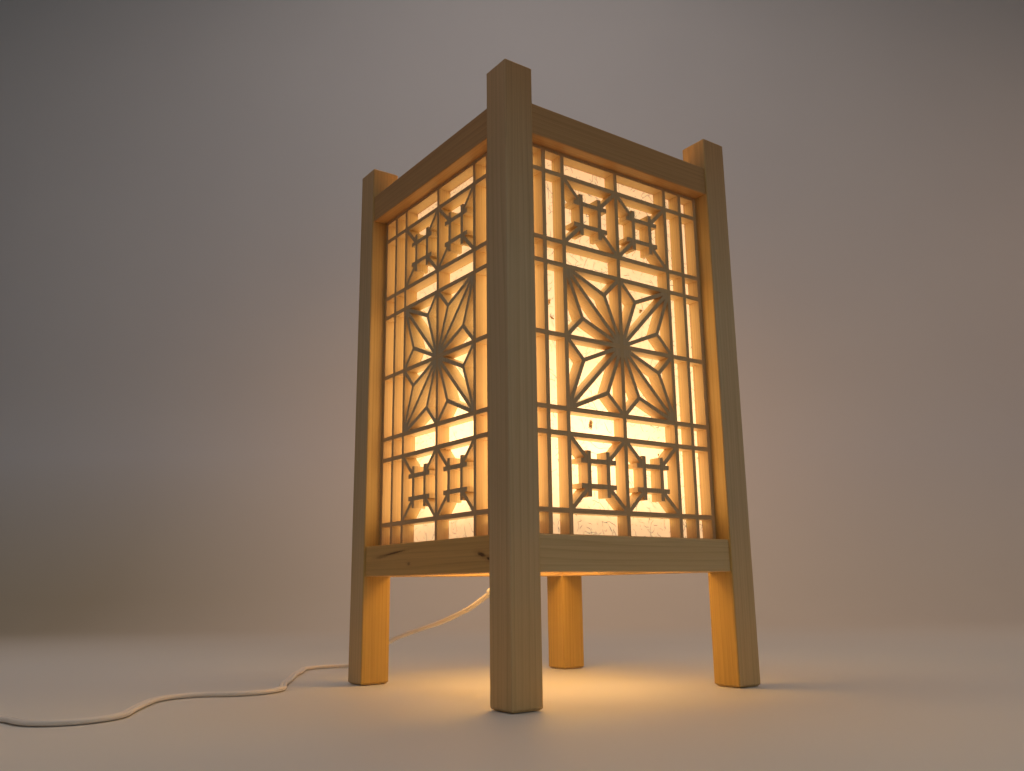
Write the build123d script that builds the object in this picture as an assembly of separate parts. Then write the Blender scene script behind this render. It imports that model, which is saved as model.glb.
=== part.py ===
from build123d import *
import math
import os

os.makedirs("parts", exist_ok=True)

# ------------------------------------------------------------------
# Andon floor lamp: four square posts, eight rails, four kumiko panels
# backed with washi, a crossbar with an E17 lampholder and bulb, and a
# flat twin cord with an in-line rocker switch and a two-blade plug.
# Millimetres, +Z up, floor at Z = 0, lamp centred on the Z axis.
# Front is -Y, left is -X.
# ------------------------------------------------------------------

# Posts
HALF = 100.0                # half the overall width and depth
HEIGHT = 387.0              # overall height
POST = 21.0                 # post section
POST_ROUND = 1.0            # eased vertical edges
POST_CHAMFER = 1.5          # chamfered post ends

# Rails
RAIL_H = 21.0
SETBACK = 1.5               # rail face behind the post face
Z_LOWER = 73.0              # underside of the lower rails
Z_TOP = 342.0               # underside of the top rails
INNER = HALF - POST         # 79: inner faces of posts and rails
RAIL_ROUND = 0.8
TENON_T = 8.0               # tenon thickness
TENON_H = 6.5               # tenon height
TENON_L = 14.0              # tenon length
TENON_OUT = 92.75           # outer cheek of the tenons from the axis
TENON_Z_FRONT = 11.5        # front and rear tenons sit high in the rail
TENON_Z_SIDE = 3.0          # left and right tenons sit low, so they pass
REBATE_LOWER = 2.0
REBATE_TOP = 1.0

# Kumiko panels
STRIP = 3.0                 # strip thickness, seen from the front
DEPTH = 9.0                 # strip depth
PITCH = 15.5                # kumiko module
PANEL_Z0, PANEL_Z1 = 92.0, 343.0
V_LINES = [-62.0, -46.5, 0.0, 46.5, 62.0]
H_LINES = [109.0, 155.5, 171.0, 217.5, 264.0, 279.5, 326.0]
STUB = 1.5                  # stub tenon length
STUB_D0, STUB_D1 = 2.0, 7.0 # stub tenon between these depths
CELL = 46.5                 # side of an inlay cell
INLAY = 2.7                 # thickness of the inlaid slips
IGETA_OVER = 6.5            # igeta bars run past their crossings

# Washi
WASHI_T = 0.3
WASHI_X = 77.0
WASHI_Z0, WASHI_Z1 = 92.5, 342.5

# Crossbar and lampholder
BAR_W, BAR_H, BAR_Z = 40.0, 9.0, 82.0
BAR_HOUSE = 5.0             # housed into the side rails
CORD_HOLE = (-9.0, 11.0)    # cord outlet in the crossbar
HOLDER_Z = BAR_Z + BAR_H    # 91

# Cord
CORD_W = 5.2                # width of the flat twin cord, which turns on edge

SIDES = {"front": 0.0, "right": 90.0, "rear": 180.0, "left": 270.0}


def box(x0, x1, y0, y1, z0, z1):
    return Pos((x0 + x1) / 2, (y0 + y1) / 2, (z0 + z1) / 2) * Box(x1 - x0, y1 - y0, z1 - z0)


def cyl(r, z0, z1, x=0.0, y=0.0):
    return Pos(x, y, (z0 + z1) / 2) * Cylinder(r, z1 - z0)


def turned(points):
    """Solid of revolution about the Z axis from (radius, z) points."""
    return revolve(Plane.XZ * Polygon(*points, align=None), Axis.Z, 360)


def turn(solids, angle):
    return [Rot(0, 0, angle) * s for s in solids]


def cut(body, tools):
    for t in tools:
        body = body - t
    return body


nodes = {}


def node(name, solids):
    if not isinstance(solids, (list, tuple)):
        solids = [solids]
    flat = []
    for s in solids:
        flat.extend(s.solids())
    nodes[name] = flat


# ------------------------------------------------------------------
# Posts: square, eased edges, two mortises at each rail height
# ------------------------------------------------------------------
def tenon_boxes(z0, dz):
    """Both tenons of a front-side rail whose underside is at z0."""
    y0, y1 = -TENON_OUT, -TENON_OUT + TENON_T
    return [
        box(s0, s1, y0, y1, z0 + dz, z0 + dz + TENON_H)
        for s0, s1 in ((-INNER - TENON_L, -INNER), (INNER, INNER + TENON_L))
    ]


all_tenons = []
for side, ang in SIDES.items():
    dz = TENON_Z_FRONT if side in ("front", "rear") else TENON_Z_SIDE
    for z0 in (Z_LOWER, Z_TOP):
        all_tenons += turn(tenon_boxes(z0, dz), ang)

C = HALF - POST / 2
for name, sx, sy in (
    ("post_front_left", -1, -1),
    ("post_front_right", 1, -1),
    ("post_rear_left", -1, 1),
    ("post_rear_right", 1, 1),
):
    post = Pos(0, 0, HEIGHT / 2) * Box(POST, POST, HEIGHT)
    inner_x, inner_y = -sx * POST / 2, -sy * POST / 2
    edges = [
        e for e in post.edges().filter_by(Axis.Z)
        if (Vector(e.center().X, e.center().Y, 0) - Vector(inner_x, inner_y, 0)).length > 1
    ]
    post = fillet(edges, POST_ROUND)
    blank = Pos(0, 0, HEIGHT / 2) * Box(POST, POST, HEIGHT)
    ring = [e for e in blank.edges() if min(abs(e.center().Z), abs(e.center().Z - HEIGHT)) < 1e-6]
    post = post & chamfer(ring, POST_CHAMFER)
    post = Pos(sx * C, sy * C, 0) * post
    post = cut(post, [t for t in all_tenons if t.center().X * sx > 0 and t.center().Y * sy > 0])
    node(name, post)


# ------------------------------------------------------------------
# Rails: rebated for the panels, stub tenons into the posts
# ------------------------------------------------------------------
crossbar_blank = box(-INNER - BAR_HOUSE, INNER + BAR_HOUSE, -BAR_W / 2, BAR_W / 2, BAR_Z, BAR_Z + BAR_H)


def rail(z0, lower, dz):
    r = box(-INNER, INNER, -HALF + SETBACK, -INNER, z0, z0 + RAIL_H)
    keep_z = z0 + RAIL_H if lower else z0       # the rebated edge stays square
    edges = [
        e for e in r.edges().filter_by(Axis.X)
        if not (abs(e.center().Y + INNER) < 1e-6 and abs(e.center().Z - keep_z) < 1e-6)
    ]
    r = fillet(edges, RAIL_ROUND)
    if lower:
        r = r - box(-INNER - 1, INNER + 1, -INNER - DEPTH, -INNER + 1, z0 + RAIL_H - REBATE_LOWER, z0 + RAIL_H + 1)
    else:
        r = r - box(-INNER - 1, INNER + 1, -INNER - DEPTH, -INNER + 1, z0 - 1, z0 + REBATE_TOP)
    for t in tenon_boxes(z0, dz):
        r = r + t
    return r


for side, ang in SIDES.items():
    dz = TENON_Z_FRONT if side in ("front", "rear") else TENON_Z_SIDE
    low = Rot(0, 0, ang) * rail(Z_LOWER, True, dz)
    if side in ("left", "right"):
        low = low - crossbar_blank
    node(side + "_lower_rail", low)
    node(side + "_top_rail", Rot(0, 0, ang) * rail(Z_TOP, False, dz))


# ------------------------------------------------------------------
# Kumiko panel, drawn once on the front side.
# Depth 0 is the back of the panel (Y = -79), 9 is its front face.
# ------------------------------------------------------------------
BACK = -INNER


def slab(x0, x1, z0, z1, d0=0.0, d1=DEPTH):
    return box(x0, x1, BACK - d1, BACK - d0, z0, z1)


def prism(points):
    plane = Plane(origin=(0, BACK, 0), x_dir=(1, 0, 0), z_dir=(0, -1, 0))
    return extrude(plane * Polygon(*points, align=None), amount=DEPTH, dir=(0, -1, 0))


h = STRIP / 2
XF = INNER - STRIP              # 76: inner edge of the stiles
ZB, ZT = PANEL_Z0 + STRIP, PANEL_Z1 - STRIP   # 95 and 340

# Frame: two full-height stiles, top and bottom strips tenoned through them
stub_side = [slab(sx * XF - (STUB if sx < 0 else 0), sx * XF + (STUB if sx > 0 else 0), z - h, z + h, STUB_D0, STUB_D1)
             for sx in (-1, 1) for z in H_LINES]
stub_ends = [slab(x - h, x + h, z0, z1, STUB_D0, STUB_D1)
             for x in V_LINES for z0, z1 in ((ZB - STUB, ZB), (ZT, ZT + STUB))]
frame = []
cross = []
for z0, z1 in ((PANEL_Z0, ZB), (ZT, PANEL_Z1)):
    strip = slab(-XF, XF, z0, z1) + slab(-INNER, INNER, z0 + 0.5, z1 - 0.5, STUB_D0, STUB_D1)
    cross.append(cut(strip, stub_ends))
for sx in (-1, 1):
    x0, x1 = (-INNER, -XF) if sx < 0 else (XF, INNER)
    stile = slab(x0, x1, PANEL_Z0, PANEL_Z1)
    stile = cut(stile, [s for s in stub_side if s.center().X * sx > 0])
    stile = cut(stile, [slab(x0, x1, z0 + 0.5, z1 - 0.5, STUB_D0, STUB_D1) for z0, z1 in ((PANEL_Z0, ZB), (ZT, PANEL_Z1))])
    frame.append(stile)
frame += cross

# Lattice: half-lapped at every crossing, stub tenons into the frame
verticals, horizontals = [], []
for x in V_LINES:
    v = slab(x - h, x + h, ZB, ZT) + slab(x - h, x + h, ZB - STUB, ZT + STUB, STUB_D0, STUB_D1)
    v = cut(v, [slab(x - h, x + h, z - h, z + h, 0, DEPTH / 2) for z in H_LINES])
    verticals.append(v)
for z in H_LINES:
    r = slab(-XF, XF, z - h, z + h) + slab(-XF - STUB, XF + STUB, z - h, z + h, STUB_D0, STUB_D1)
    r = cut(r, [slab(x - h, x + h, z - h, z + h, DEPTH / 2, DEPTH) for x in V_LINES])
    horizontals.append(r)


# Convex polygon tools for the inlays
def clip(poly, p, n):
    """Keep the part of a convex polygon where (q - p) . n >= 0."""
    out = []
    for i in range(len(poly)):
        a, b = poly[i], poly[(i + 1) % len(poly)]
        da = (a[0] - p[0]) * n[0] + (a[1] - p[1]) * n[1]
        db = (b[0] - p[0]) * n[0] + (b[1] - p[1]) * n[1]
        if da >= -1e-9:
            out.append(a)
        if (da > 1e-9 and db < -1e-9) or (da < -1e-9 and db > 1e-9):
            t = da / (da - db)
            out.append((a[0] + t * (b[0] - a[0]), a[1] + t * (b[1] - a[1])))
    clean = []
    for q in out:
        if not clean or math.hypot(q[0] - clean[-1][0], q[1] - clean[-1][1]) > 1e-6:
            clean.append(q)
    if math.hypot(clean[0][0] - clean[-1][0], clean[0][1] - clean[-1][1]) < 1e-6:
        clean.pop()
    return clean


K = INLAY / math.sqrt(2)


def diagonal(ax, az, bx, bz):
    """Slip at 45 degrees from corner A to corner B with square points."""
    sx = 1 if bx > ax else -1
    sz = 1 if bz > az else -1
    return [(ax, az), (ax + sx * K, az), (bx, bz - sz * K), (bx, bz), (bx - sx * K, bz), (ax, az + sz * K)]


# Igeta: four cells, a half-lapped # of four bars and four corner slips
igeta = []
for x0 in (-CELL, 0.0):
    for z0 in (109.0, 279.5):
        xs = [x0 + PITCH, x0 + 2 * PITCH]
        zs = [z0 + PITCH, z0 + 2 * PITCH]
        for x in xs:
            b = slab(x - h, x + h, zs[0] - IGETA_OVER, zs[1] + IGETA_OVER)
            igeta.append(cut(b, [slab(x - h, x + h, z - h, z + h, 0, DEPTH / 2) for z in zs]))
        for z in zs:
            b = slab(xs[0] - IGETA_OVER, xs[1] + IGETA_OVER, z - h, z + h)
            igeta.append(cut(b, [slab(x - h, x + h, z - h, z + h, DEPTH / 2, DEPTH) for x in xs]))
        for ax, bx in ((x0 + h, xs[0] - h), (x0 + CELL - h, xs[1] + h)):
            for az, bz in ((z0 + h, zs[0] - h), (z0 + CELL - h, zs[1] + h)):
                igeta.append(prism(diagonal(ax, az, bx, bz)))

# Asanoha: in each of the four cells round the star centre one diagonal
# and, in both triangles beside it, three leaf slips meeting at the incentre
asanoha = []
STAR = (0.0, 217.5)
for sx in (-1, 1):
    for sz in (-1, 1):
        def to_panel(p):
            return (STAR[0] + sx * p[0], STAR[1] + sz * p[1])

        d = diagonal(h, h, CELL - h, CELL - h)
        asanoha.append(prism([to_panel(p) for p in d]))
        # triangle below the diagonal: floor at v = h, wall at u = CELL - h
        tri = [(h + K, h), (CELL - h, h), (CELL - h, CELL - h - K)]
        leg = tri[1][0] - tri[0][0]
        r_in = leg * (1 - 1 / math.sqrt(2))
        hub = (CELL - h - r_in, h + r_in)
        dirs = []
        for q in tri:
            length = math.hypot(q[0] - hub[0], q[1] - hub[1])
            dirs.append(((q[0] - hub[0]) / length, (q[1] - hub[1]) / length, length))
        for i in range(3):
            ux, uz, length = dirs[i]
            a = (hub[0] - 6 * ux, hub[1] - 6 * uz)
            b = (hub[0] + (length + 4) * ux, hub[1] + (length + 4) * uz)
            nx, nz = -uz * INLAY / 2, ux * INLAY / 2
            poly = [(a[0] + nx, a[1] + nz), (a[0] - nx, a[1] - nz), (b[0] - nx, b[1] - nz), (b[0] + nx, b[1] + nz)]
            # inside the triangle
            poly = clip(poly, (0, h), (0, 1))
            poly = clip(poly, (CELL - h, 0), (-1, 0))
            poly = clip(poly, (h + K, h), (1 / math.sqrt(2), -1 / math.sqrt(2)))
            # mitred against the two neighbours at the hub
            for j in range(3):
                if j != i:
                    poly = clip(poly, hub, (ux - dirs[j][0], uz - dirs[j][1]))
            for swap in (False, True):
                pts = [((q[1], q[0]) if swap else q) for q in poly]
                asanoha.append(prism([to_panel(p) for p in pts]))

washi = [box(-WASHI_X, WASHI_X, BACK, BACK + WASHI_T, WASHI_Z0, WASHI_Z1)]

for side, ang in SIDES.items():
    node(side + "_panel_frame", turn(frame, ang))
    node(side + "_panel_uprights", turn(verticals, ang))
    node(side + "_panel_crosspieces", turn(horizontals, ang))
    node(side + "_panel_igeta", turn(igeta, ang))
    node(side + "_panel_asanoha", turn(asanoha, ang))
    node(side + "_washi", turn(washi, ang))


# ------------------------------------------------------------------
# Crossbar, lampholder, screws, bulb
# ------------------------------------------------------------------
SCREW_X = 17.3
screw_tool = []
screws = []
for sx in (-1, 1):
    shank = cyl(1.5, 83.5, 96.0, sx * SCREW_X, 0)
    head = Pos(sx * SCREW_X, 0, 0) * turned([(0, 96.0), (3.0, 96.0), (3.0, 97.0), (2.2, 98.0), (0, 98.2)])
    slot = box(sx * SCREW_X - 1.9, sx * SCREW_X + 1.9, -0.35, 0.35, 97.2, 99) + \
        box(sx * SCREW_X - 0.35, sx * SCREW_X + 0.35, -1.9, 1.9, 97.2, 99)
    screws.append((shank + head) - slot)
    screw_tool.append(shank)

hx, hy = CORD_HOLE
bar = crossbar_blank - cyl(4.0, BAR_Z - 1, BAR_Z + BAR_H + 1, hx, hy)
bar = cut(bar, screw_tool)
node("socket_crossbar", bar)

# Lampholder: round flange with a wiring recess underneath, plain barrel
holder = turned([
    (0, 91), (21, 91), (21, 95), (20, 96), (14.0, 96), (13.2, 122.4), (12.6, 123),
    (9.1, 123), (9.1, 100), (0, 100),
])
recess = cyl(18.6, 90, 94.5)
for sx in (-1, 1):
    recess = recess - cyl(4.0, 89, 95, sx * SCREW_X, 0)
holder = holder - recess
holder = cut(holder, screw_tool)
wires = []
for sx in (-1, 1):
    # solder tags pass the base and carry the two cores
    tag = box(sx * 3.4 - 1.2, sx * 3.4 + 1.2, 4.0, 4.6, 92.6, 99.2)
    holder = holder - box(sx * 3.4 - 1.2, sx * 3.4 + 1.2, 4.0, 4.6, 94.0, 99.2)
    wires.append(tag)
node("lampholder_body", holder)

shell_pts = [(9.1, 100), (9.1, 122), (8.55, 122)]
for k in range(6):
    zc = 118.6 - 2.82 * k
    shell_pts += [(8.55, zc + 0.7), (8.8, zc + 0.35), (8.8, zc - 0.35), (8.55, zc - 0.7)]
shell_pts += [(8.55, 100.6), (6.0, 100.6), (6.0, 100)]
node("lampholder_screw_shell", turned(shell_pts))
node("lampholder_contact", turned([(0, 100), (4.0, 100), (4.0, 100.3), (2.0, 100.9), (0, 100.95)]))
node("lampholder_terminals", wires)
node("lampholder_screws", screws)

# Cap of the bulb: 17 mm screw shell, cup-shaped, 0.05 mm clear of the holder
cap_pts = [(5.0, 103.6), (8.5, 105.4)]
for k in range(5):
    zc = 108.6 + 2.82 * k
    cap_pts += [(8.5, zc - 0.7), (8.28, zc - 0.35), (8.28, zc + 0.35), (8.5, zc + 0.7)]
cap_pts += [(8.5, 123.1), (8.0, 123.1), (8.0, 105.8), (5.0, 104.26)]
tip = turned([(0, 101.0), (1.6, 101.0), (2.4, 101.5), (2.4, 102.2), (0, 102.2)])
node("bulb_cap", [turned(cap_pts), tip])
# black glass bead in the foot of the cap, 0.05 mm clear of it
node("bulb_insulator", turned([(0, 102.2), (2.6, 102.2), (4.9, 103.5), (4.95, 103.6), (4.95, 104.26), (0, 104.26)]))

# Globe, 45 mm: thin frosted glass with a neck that sits in the cap
GZ, GR, GT, FR = 148.0, 22.5, 0.8, 6.0
NECK = 8.0
fz = GZ - math.sqrt((GR + FR) ** 2 - (NECK + FR) ** 2)


def globe_profile(off):
    rn, R, rf = NECK - off, GR - off, FR + off
    cx = NECK + FR
    end = (R / (GR + FR) * cx, GZ - R / (GR + FR) * (GZ - fz))
    a_end = math.atan2(end[1] - fz, end[0] - cx)
    am = (math.pi + a_end) / 2
    mid = (cx + rf * math.cos(am), fz + rf * math.sin(am))
    return rn, fz, mid, end, R


rn, z1, mid_o, end_o, Ro = globe_profile(0.0)
rn2, z2, mid_i, end_i, Ri = globe_profile(GT)
side_o = (Ro * math.cos(0.2), GZ + Ro * math.sin(0.2))
side_i = (Ri * math.cos(0.2), GZ + Ri * math.sin(0.2))
outline = [
    Line((rn2, 112.0), (rn, 112.0)),
    Line((rn, 112.0), (rn, z1)),
    ThreePointArc((rn, z1), mid_o, end_o),
    ThreePointArc(end_o, side_o, (0, GZ + Ro)),
    Line((0, GZ + Ro), (0, GZ + Ri)),
    ThreePointArc((0, GZ + Ri), side_i, end_i),
    ThreePointArc(end_i, mid_i, (rn2, z2)),
    Line((rn2, z2), (rn2, 112.0)),
]
node("bulb_glass", revolve(Plane.XZ * make_face(Curve() + outline), Axis.Z, 360))
# stem closes the neck and carries the lead wires and the filament
node("bulb_stem", turned([(0, 112), (7.2, 112), (7.2, 113.2), (2.4, 115.5), (2.0, 133), (0, 134)]))
lead = []
for sx in (-1, 1):
    p0, p1 = Vector(sx * 1.1, 0, 133.2), Vector(sx * 8.5, 0, 148.0)
    d = p1 - p0
    lead.append(Plane(origin=p0, z_dir=d) * Cylinder(0.35, d.length, align=(Align.CENTER, Align.CENTER, Align.MIN)))
coil_w = Plane(origin=(-8.6, 0, 148.0), z_dir=(1, 0, 0)) * Cylinder(0.6, 17.2, align=(Align.CENTER, Align.CENTER, Align.MIN))
filament = (lead[0] + lead[1] + coil_w) - nodes["bulb_stem"][0]
node("bulb_filament", filament)


# ------------------------------------------------------------------
# Cord.  Route points are corners of straight runs joined by tangent
# arcs; the cord's solid is the round tube that its width sweeps.
# ------------------------------------------------------------------
EXIT = (-16.9, 43.0, 60.5)

ROUTE_LAMP = [
    EXIT,
    (-18.4, 56.6, 52.7), (-25.6, 72.4, 47.2), (-27.7, 95.6, 39.8), (-35.0, 117.5, 33.1), (-44.2, 142.7, 25.3),
    (-39.3, 171.4, 16.8), (-32.0, 198.1, 8.7), (-40.8, 216.8, 2.6), (-56.5, 226.3, 2.6), (-73.1, 225.4, 2.6),
    (-86.0, 215.8, 2.6), (-93.1, 199.2, 2.6), (-110.1, 174.0, 2.6), (-127.5, 138.5, 2.6), (-145.5, 107.3, 2.6),
    (-151.7, 86.7, 2.6), (-167.6, 76.0, 2.6), (-186.2, 77.4, 2.6), (-206.4, 92.9, 2.6), (-231.6, 87.8, 2.6),
    (-247.2, 60.0, 2.6), (-255.7, 43.4, 2.6), (-267.1, 17.3, 2.6), (-291.1, 10.3, 2.6), (-311.9, 23.5, 2.6),
    (-316.0, 50.5, 2.6), (-336.4, 63.9, 2.6), (-360.5, 64.0, 4.0),
]

COIL_C = (-470.0, 26.0)
COIL_Z = 3.4                # centre height of the lower turns
COIL_R0, COIL_R1 = 38.0, 22.4

ROUTE_SWITCH = [
    (-422.5, 64.0, 4.0), (-436.5, 64.4, 3.3), (-451.5, 64.6, 3.5), (-466.0, 63.8, 3.4),
]
ROUTE_PLUG = [
    (-471.0, -8.0, 8.8), (-457.0, -9.3, 9.0), (-441.0, -13.0, 8.2), (-424.0, -15.0, 6.5),
]


def tube(name, route):
    """Cord swept along straight runs and tangent arcs."""
    pts = [Vector(*p) for p in route]
    runs = [(pts[i + 1] - pts[i]).length for i in range(len(pts) - 1)]
    radii = []
    for i in range(1, len(pts) - 1):
        t = math.radians((pts[i] - pts[i - 1]).get_angle(pts[i + 1] - pts[i]))
        r = 0.45 * min(runs[i - 1], runs[i]) / math.tan(t / 2)
        radii.append(r)
        print("%s corner %2d: run %.1f turn %.1f deg radius %.1f mm (%.1f widths)"
              % (name, i, runs[i - 1], math.degrees(t), r, r / CORD_W))
    path = FilletPolyline(*pts, radius=radii)
    length = path.length
    face = Plane(origin=pts[0], z_dir=path % 0) * Circle(CORD_W / 2)
    area = face.area
    solid = sweep(face, path=path)
    print("%s: length %.1f mm, volume %.0f of %.0f mm3" % (name, length, solid.volume, area * length))
    return solid, length


# Strain relief: flange and neck in the crossbar, tapered tail
tail_dir = Vector(EXIT[0] - hx, EXIT[1] - hy, EXIT[2] - 77.0)
tail_len = tail_dir.length
boot = cyl(8.0, 79.5, 82.0, hx, hy) + cyl(4.0, 82.0, 93.0, hx, hy) + cyl(6.5, 76.5, 79.6, hx, hy)
boot = boot + (Pos(hx, hy, 77.0) * Sphere(6.5) - cyl(8.0, 81.9, 84.0, hx, hy))
boot = boot + Plane(origin=(hx, hy, 77.0), z_dir=tail_dir) * Cone(5.2, 3.3, tail_len, align=(Align.CENTER, Align.CENTER, Align.MIN))
for k in range(5):
    s = 14.0 + 4.2 * k
    ring = Plane(origin=Vector(hx, hy, 77.0) + tail_dir.normalized() * s, z_dir=tail_dir)
    r_at = 5.2 - 1.9 * (s / tail_len)
    boot = boot - (ring * (Cylinder(8, 1.6) - Cylinder(r_at - 0.6, 1.6)))
node("cord_boot", boot)

lamp_cord, len_lamp = tube("cord_lamp_side", ROUTE_LAMP)

# Coil: closed ring of the wound turns, lower layer wider than the upper
g = CORD_W / 2
ri, ro, rt = COIL_R1 - g, COIL_R0 + g, 36.4
zb, zm, zt = COIL_Z - g, COIL_Z + g, COIL_Z + 3 * g
ring_face = Plane.XZ * Polygon(
    (ri, zb + 1.2), (ri + 1.2, zb), (ro - 1.2, zb), (ro, zb + 1.2), (ro, zm - 0.6), (ro - 0.6, zm),
    (rt, zm), (rt, zt - 1.2), (rt - 1.2, zt), (ri + 1.2, zt), (ri, zt - 1.2), align=None)
coil = Pos(COIL_C[0], COIL_C[1], 0) * revolve(ring_face, Axis.Z, 360)

# Ties: two narrow bands round the winding, opposite each other
tie_t, tie_w = 0.8, 6.0
ties = []
for sx in (-1, 1):
    x0, x1 = sorted((COIL_C[0] + sx * (ri - tie_t), COIL_C[0] + sx * (ro + tie_t)))
    band = box(x0, x1, COIL_C[1] - tie_w / 2, COIL_C[1] + tie_w / 2, zb - tie_t, zt + tie_t)
    band = fillet(band.edges().filter_by(Axis.Y), 1.4)
    x0, x1 = sorted((COIL_C[0] + sx * (ri - 0.02), COIL_C[0] + sx * (ro + 0.02)))
    hole = box(x0, x1, COIL_C[1] - tie_w, COIL_C[1] + tie_w, zb, zt)
    ties.append(band - hole - coil)
coil_ties = ties

switch_cord, len_switch = tube("cord_switch_side", ROUTE_SWITCH)
plug_cord, len_plug = tube("cord_plug_side", ROUTE_PLUG)
node("cord_coil", coil)
node("coil_ties", coil_ties)


# ------------------------------------------------------------------
# In-line rocker switch: base, cover and rocker on a cross pin
# ------------------------------------------------------------------
SX, SY = -391.5, 64.0       # centre of the housing
S_L, S_W, S_H, S_SPLIT = 52.0, 24.0, 16.0, 8.0


def sw(x0, x1, y0, y1, z0, z1):
    return box(SX + x0, SX + x1, SY + y0, SY + y1, z0, z1)


shell_box = sw(-S_L / 2, S_L / 2, -S_W / 2, S_W / 2, 0, S_H)
shell_box = fillet(shell_box.edges().filter_by(Axis.Z), 7.0)
rim = [e for e in shell_box.edges() if abs(e.center().Z - S_H) < 1e-6]
shell_box = fillet(rim, 1.8)
rim = [e for e in shell_box.edges() if abs(e.center().Z) < 1e-6]
shell_box = chamfer(rim, 0.8)
noses = []
for s in (-1, 1):
    n = Plane(origin=(SX + s * 20.0, SY, 4.0), z_dir=(s, 0, 0)) * Cone(3.95, 3.5, 11.0, align=(Align.CENTER, Align.CENTER, Align.MIN))
    noses.append(n - sw(-60, 60, -20, 20, -5, 0))
base = (shell_box & sw(-40, 40, -20, 20, -1, S_SPLIT)) + noses[0] + noses[1]
base = base - sw(-19, 19, -8.5, 8.5, 2.0, S_SPLIT)
cover = shell_box & sw(-40, 40, -20, 20, S_SPLIT, S_H + 1)
cover = cover - sw(-19, 19, -8.5, 8.5, S_SPLIT, S_H - 2.0)
WIN_X, WIN_Y = 10.5, 5.3
cover = cover - sw(-WIN_X, WIN_X, -WIN_Y, WIN_Y, S_H - 3, S_H + 1)
PIN_Z, PIN_R = 11.0, 1.25
for s in (-1, 1):
    y0, y1 = sorted((s * 5.3, s * 8.5))
    cover = cover + sw(-4, 4, y0, y1, 8.6, S_H - 2.0)
pin_bore = Plane(origin=(SX, SY - 7.3, PIN_Z), z_dir=(0, 1, 0)) * Cylinder(PIN_R + 0.05, 14.6, align=(Align.CENTER, Align.CENTER, Align.MIN))
cover = cover - pin_bore
node("switch_base", base)
node("switch_cover", cover)
node("cord_lamp_side", lamp_cord - boot - base)
node("cord_switch_side", switch_cord - base - coil)

profile = [(-9.4, -1.6), (-3.0, -4.2), (3.0, -4.2), (9.4, -1.6), (9.4, 6.3), (0, 5.2), (-9.4, 6.3)]
rocker_plane = Plane(origin=(0, 5.0, 0), x_dir=(1, 0, 0), z_dir=(0, -1, 0))
rocker = extrude(rocker_plane * Polygon(*profile, align=None), amount=10.0)
top_edges = [e for e in rocker.edges().filter_by(Axis.Y) if e.center().Z > 6]
rocker = fillet(top_edges, 0.8)
rocker = rocker + Plane(origin=(0, -7.1, 0), z_dir=(0, 1, 0)) * Cylinder(PIN_R, 14.2, align=(Align.CENTER, Align.CENTER, Align.MIN))
ROCK = 7.0                  # rests 7 degrees to the "on" side
rocker = Pos(SX, SY, PIN_Z) * (Rot(0, -ROCK, 0) * rocker)
node("switch_rocker", rocker)


# ------------------------------------------------------------------
# Plug: moulded body with a tapered relief, two flat blades
# ------------------------------------------------------------------
PY, PZ = -15.0, 6.5
plug = box(-402, -376, PY - 12, PY + 12, 0, 13.0)
plug = fillet(plug.edges().filter_by(Axis.Z), 3.5)
plug = fillet([e for e in plug.edges() if abs(e.center().Z) < 1e-6 or abs(e.center().Z - 13.0) < 1e-6], 1.5)
relief = Plane(origin=(-424.0, PY, PZ), z_dir=(1, 0, 0)) * Cone(3.6, 6.0, 23.0, align=(Align.CENTER, Align.CENTER, Align.MIN))
plug = plug + relief
blades = []
for s in (-1, 1):
    b = box(-382.0, -358.5, PY + s * 6.35 - 0.75, PY + s * 6.35 + 0.75, PZ - 3.15, PZ + 3.15)
    tip_edges = [e for e in b.edges().filter_by(Axis.Y) if e.center().X > -360]
    b = chamfer(tip_edges, 1.2)
    hole = Plane(origin=(-362.6, PY + s * 6.35 - 2, PZ), z_dir=(0, 1, 0)) * Cylinder(1.5, 4, align=(Align.CENTER, Align.CENTER, Align.MIN))
    blades.append(b - hole)
plug = plug - blades[0] - blades[1]
node("plug_body", plug)
node("plug_blades", blades)
node("cord_plug_side", plug_cord - plug - coil)

for name, solids in nodes.items():
    shape = solids[0] if len(solids) == 1 else Compound(children=solids)
    export_step(shape, "parts/%s.step" % name)
print("nodes", len(nodes), "solids", sum(len(s) for s in nodes.values()))
print("cord lengths", round(len_lamp, 1), round(len_switch, 1), round(len_plug, 1))
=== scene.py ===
import bpy
import bmesh
import math
import random
from mathutils import Matrix, Vector


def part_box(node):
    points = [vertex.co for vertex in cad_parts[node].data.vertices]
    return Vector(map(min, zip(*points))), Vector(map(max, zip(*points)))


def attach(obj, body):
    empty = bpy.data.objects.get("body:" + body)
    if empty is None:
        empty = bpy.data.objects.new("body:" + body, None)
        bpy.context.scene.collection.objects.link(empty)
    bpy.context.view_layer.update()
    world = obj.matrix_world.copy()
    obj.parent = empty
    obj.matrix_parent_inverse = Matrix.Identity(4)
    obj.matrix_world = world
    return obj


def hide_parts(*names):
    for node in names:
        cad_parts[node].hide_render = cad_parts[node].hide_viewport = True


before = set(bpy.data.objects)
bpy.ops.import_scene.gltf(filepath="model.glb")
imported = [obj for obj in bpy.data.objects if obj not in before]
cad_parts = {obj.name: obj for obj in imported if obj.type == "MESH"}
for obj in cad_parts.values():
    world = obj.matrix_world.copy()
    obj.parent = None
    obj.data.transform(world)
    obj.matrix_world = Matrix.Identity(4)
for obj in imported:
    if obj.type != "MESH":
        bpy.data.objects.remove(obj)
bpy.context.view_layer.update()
MM = 0.001
scene = bpy.context.scene


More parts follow.
